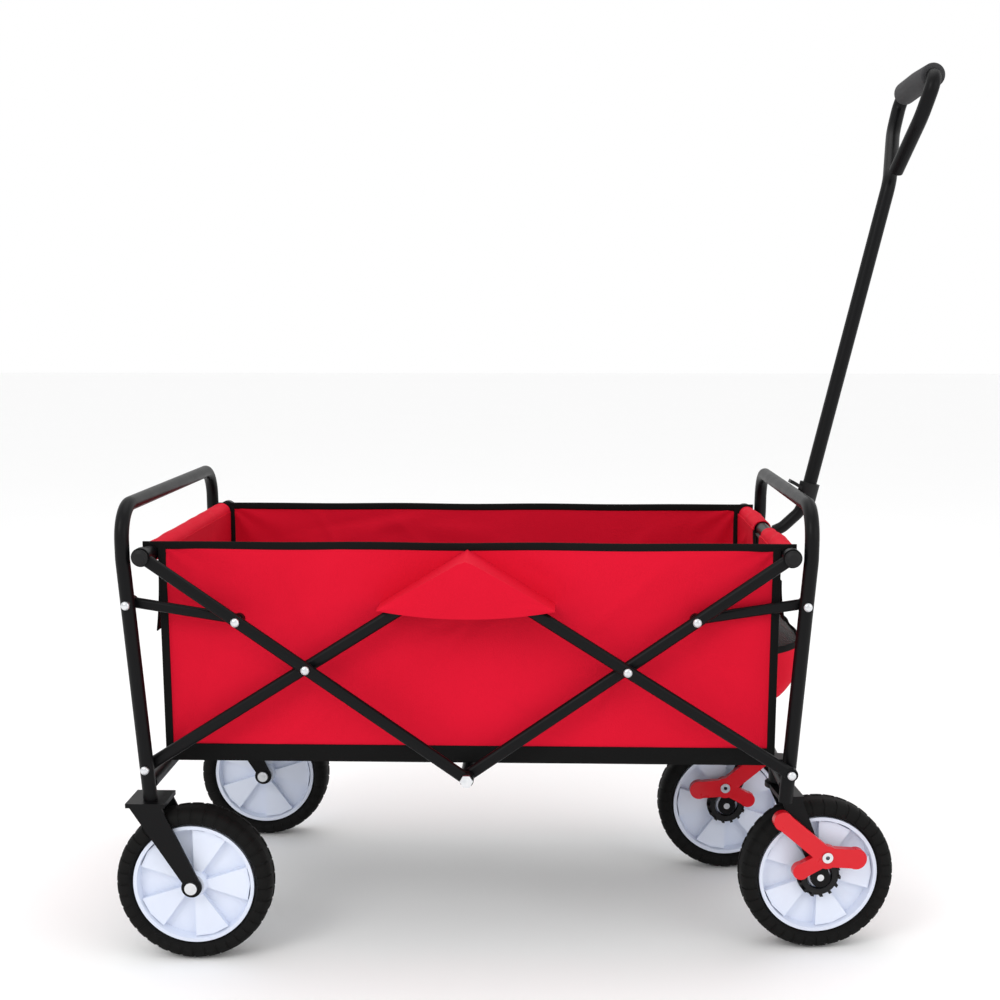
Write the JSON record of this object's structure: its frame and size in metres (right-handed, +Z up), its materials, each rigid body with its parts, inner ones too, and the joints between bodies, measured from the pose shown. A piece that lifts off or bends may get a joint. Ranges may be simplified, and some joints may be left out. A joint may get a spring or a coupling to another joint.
{
  "type": "folding wagon",
  "caption": "Folding camp wagon: fabric basket on hooped end frames and side scissor linkages, fixed rear wheels, braked front casters and a pull handle.",
  "frame": {"origin": "on the floor, under the middle of the open wagon's overall box with the handle raised", "axes": "+Z up, +X towards the handle end, +Y towards the wagon's left side when facing +X"},
  "size_m": [0.9278, 0.4734, 1.0005],
  "materials": {
    "black_metal": "satin black powder coat",
    "zinc_steel": "bright zinc plate",
    "tyre": "matt moulded",
    "rim": "semi-gloss moulded",
    "black_plastic": "fine grain",
    "red_plastic": "glossy moulded",
    "foam": "closed-cell foam",
    "red_fabric": "coated oxford weave",
    "black_fabric": "coated oxford weave",
    "panel": "fabric-covered board"
  },
  "bodies": {
    "centre": {"centre_tube": "black_metal", "centre_bolts": "zinc_steel"},
    "rear_scissor": {"rear_long_bar_near": "black_metal", "rear_long_bar_far": "black_metal", "rear_top_tube": "black_metal", "rear_top_caps": "black_plastic", "rear_scissor_bolts": "zinc_steel"},
    "rear_short_near": {"rear_short_bar_near": "black_metal"},
    "rear_link_near": {"rear_link_near": "black_metal"},
    "rear_short_far": {"rear_short_bar_far": "black_metal"},
    "rear_link_far": {"rear_link_far": "black_metal"},
    "front_scissor": {"front_long_bar_near": "black_metal", "front_long_bar_far": "black_metal", "front_top_tube": "black_metal", "front_top_caps": "black_plastic", "front_scissor_bolts": "zinc_steel"},
    "front_short_near": {"front_short_bar_near": "black_metal", "top_bolt_near": "zinc_steel"},
    "front_link_near": {"front_link_near": "black_metal"},
    "front_short_far": {"front_short_bar_far": "black_metal", "top_bolt_far": "zinc_steel"},
    "front_link_far": {"front_link_far": "black_metal"},
    "rear_frame": {"rear_hoop": "black_metal", "rear_lower_tube": "black_metal", "rear_yokes": "black_metal", "rear_axles": "zinc_steel", "rear_frame_bolts": "zinc_steel"},
    "front_frame": {"front_hoop": "black_metal", "front_lower_tube": "black_metal", "stem_sockets": "black_metal", "front_frame_bolts": "zinc_steel"},
    "rear_wheel_near": {"rear_tyre_near": "tyre", "rear_rim_near": "rim"},
    "caster_near": {"caster_fork_near": "black_metal", "caster_axle_near": "zinc_steel"},
    "front_wheel_near": {"front_tyre_near": "tyre", "front_rim_near": "rim", "brake_ring_near": "black_plastic"},
    "pedal_near": {"brake_pedal_near": "red_plastic"},
    "rear_wheel_far": {"rear_tyre_far": "tyre", "rear_rim_far": "rim"},
    "caster_far": {"caster_fork_far": "black_metal", "caster_axle_far": "zinc_steel"},
    "front_wheel_far": {"front_tyre_far": "tyre", "front_rim_far": "rim", "brake_ring_far": "black_plastic"},
    "pedal_far": {"brake_pedal_far": "red_plastic"},
    "handle": {"handle_lower_tube": "black_metal", "handle_clip": "black_plastic", "handle_upper_tube": "black_metal", "handle_grip": "foam"},
    "basket": {"side_walls": "red_fabric", "end_walls": "red_fabric", "basket_floor": "black_fabric", "side_flaps": "red_fabric", "front_pouch": "red_fabric"},
    "panel_1": {"floor_panel_1": "panel"},
    "panel_2": {"floor_panel_2": "panel"},
    "panel_3": {"floor_panel_3": "panel"},
    "panel_4": {"floor_panel_4": "panel"}
  },
  "joints": [
    {"name": "fold", "type": "hinge", "parent": "centre", "child": "rear_scissor", "pos_m": [-0.06437, 0, 0.2144], "axis": [0, 1, 0], "range_deg": [0, 45]},
    {"name": "front_scissor_turn", "type": "hinge", "parent": "centre", "child": "front_scissor", "pos_m": [-0.06437, 0, 0.2144], "axis": [0, -1, 0], "range_deg": [0, 45.05]},
    {"name": "rear_short_bar_near_turn", "type": "hinge", "parent": "rear_scissor", "child": "rear_short_near", "pos_m": [-0.24175, -0.209, 0.33906], "axis": [0, -1, 0], "range_deg": [0, 92.52]},
    {"name": "rear_link_near_turn", "type": "hinge", "parent": "rear_scissor", "child": "rear_link_near", "pos_m": [-0.31759, -0.2, 0.39236], "axis": [0, -1, 0], "range_deg": [0, 127.94]},
    {"name": "rear_short_bar_far_turn", "type": "hinge", "parent": "rear_scissor", "child": "rear_short_far", "pos_m": [-0.24175, 0.209, 0.33906], "axis": [0, -1, 0], "range_deg": [0, 92.52]},
    {"name": "rear_link_far_turn", "type": "hinge", "parent": "rear_scissor", "child": "rear_link_far", "pos_m": [-0.31759, 0.2, 0.39236], "axis": [0, -1, 0], "range_deg": [0, 127.94]},
    {"name": "front_short_bar_near_turn", "type": "hinge", "parent": "front_scissor", "child": "front_short_near", "pos_m": [0.113, -0.209, 0.33906], "axis": [0, 1, 0], "range_deg": [0, 92.52]},
    {"name": "front_link_near_turn", "type": "hinge", "parent": "front_scissor", "child": "front_link_near", "pos_m": [0.18884, -0.2, 0.39236], "axis": [0, 1, 0], "range_deg": [0, 127.94]},
    {"name": "front_short_bar_far_turn", "type": "hinge", "parent": "front_scissor", "child": "front_short_far", "pos_m": [0.113, 0.209, 0.33906], "axis": [0, 1, 0], "range_deg": [0, 92.52]},
    {"name": "front_link_far_turn", "type": "hinge", "parent": "front_scissor", "child": "front_link_far", "pos_m": [0.18884, 0.2, 0.39236], "axis": [0, 1, 0], "range_deg": [0, 127.94]},
    {"name": "rear_frame_turn", "type": "hinge", "parent": "rear_short_near", "child": "rear_frame", "pos_m": [-0.4239, -0.209, 0.22391], "axis": [0, 1, 0], "range_deg": [0, 48.14]},
    {"name": "front_frame_turn", "type": "hinge", "parent": "front_short_near", "child": "front_frame", "pos_m": [0.29516, -0.209, 0.22391], "axis": [0, -1, 0], "range_deg": [0, 48.14]},
    {"name": "rear_wheel_near_spin", "type": "hinge", "parent": "rear_frame", "child": "rear_wheel_near", "pos_m": [-0.3749, -0.207, 0.089], "axis": [0, 1, 0], "continuous": true},
    {"name": "caster_near_swivel", "type": "hinge", "parent": "front_frame", "child": "caster_near", "pos_m": [0.29716, -0.128, 0.2], "axis": [0, 0, 1], "continuous": true},
    {"name": "front_wheel_near_spin", "type": "hinge", "parent": "caster_near", "child": "front_wheel_near", "pos_m": [0.33685, -0.1546, 0.089], "axis": [-0.1045, 0.9945, 0], "continuous": true},
    {"name": "brake_near_press", "type": "hinge", "parent": "caster_near", "child": "pedal_near", "pos_m": [0.34083, -0.15418, 0.117], "axis": [0.1045, -0.9945, 0], "range_deg": [0, 9]},
    {"name": "rear_wheel_far_spin", "type": "hinge", "parent": "rear_frame", "child": "rear_wheel_far", "pos_m": [-0.3749, 0.207, 0.089], "axis": [0, 1, 0], "continuous": true},
    {"name": "caster_far_swivel", "type": "hinge", "parent": "front_frame", "child": "caster_far", "pos_m": [0.29716, 0.128, 0.2], "axis": [0, 0, -1], "continuous": true},
    {"name": "front_wheel_far_spin", "type": "hinge", "parent": "caster_far", "child": "front_wheel_far", "pos_m": [0.26099, 0.09676, 0.089], "axis": [0.0175, -0.9998, 0], "continuous": true},
    {"name": "brake_far_press", "type": "hinge", "parent": "caster_far", "child": "pedal_far", "pos_m": [0.25699, 0.09669, 0.117], "axis": [-0.0175, 0.9998, 0], "range_deg": [0, 9]},
    {"name": "handle_pitch", "type": "hinge", "parent": "front_frame", "child": "handle", "pos_m": [0.29054, 0, 0.46384], "axis": [0, -1, 0], "range_deg": [-105, 0]},
    {"name": "basket_lift", "type": "slide", "parent": "centre", "child": "basket", "axis": [0, 0, 1], "range_m": [0, 0.1785], "deforming": ["side_walls", "end_walls", "basket_floor", "side_flaps", "front_pouch"]},
    {"name": "floor_panel_2_turn", "type": "hinge", "parent": "basket", "child": "panel_2", "pos_m": [-0.06437, 0, 0.24], "axis": [0, 1, 0], "range_deg": [0, 84.05]},
    {"name": "floor_panel_3_turn", "type": "hinge", "parent": "basket", "child": "panel_3", "pos_m": [-0.06437, 0, 0.24], "axis": [0, -1, 0], "range_deg": [0, 84.05]},
    {"name": "floor_panel_1_turn", "type": "hinge", "parent": "panel_2", "child": "panel_1", "pos_m": [-0.23462, 0, 0.236], "axis": [0, -1, 0], "range_deg": [0, 168.05]},
    {"name": "floor_panel_4_turn", "type": "hinge", "parent": "panel_3", "child": "panel_4", "pos_m": [0.10588, 0, 0.236], "axis": [0, 1, 0], "range_deg": [0, 168.05]}
  ],
  "couplings": [
    {"joint": "front_scissor_turn", "follows": "fold", "ratio": 1},
    {"joint": "rear_short_bar_near_turn", "follows": "fold", "ratio": 2.0549},
    {"joint": "rear_link_near_turn", "follows": "fold", "ratio": 2.842},
    {"joint": "rear_short_bar_far_turn", "follows": "fold", "ratio": 2.0549},
    {"joint": "rear_link_far_turn", "follows": "fold", "ratio": 2.842},
    {"joint": "front_short_bar_near_turn", "follows": "fold", "ratio": 2.0549},
    {"joint": "front_link_near_turn", "follows": "fold", "ratio": 2.842},
    {"joint": "front_short_bar_far_turn", "follows": "fold", "ratio": 2.0549},
    {"joint": "front_link_far_turn", "follows": "fold", "ratio": 2.842},
    {"joint": "rear_frame_turn", "follows": "fold", "ratio": 1.0686},
    {"joint": "front_frame_turn", "follows": "fold", "ratio": 1.0686},
    {"joint": "basket_lift", "follows": "fold", "m_per_rad": 0.22664},
    {"joint": "floor_panel_2_turn", "follows": "fold", "ratio": 1.8667},
    {"joint": "floor_panel_3_turn", "follows": "fold", "ratio": 1.8667},
    {"joint": "floor_panel_1_turn", "follows": "fold", "ratio": 3.7333},
    {"joint": "floor_panel_4_turn", "follows": "fold", "ratio": 3.7333}
  ]
}
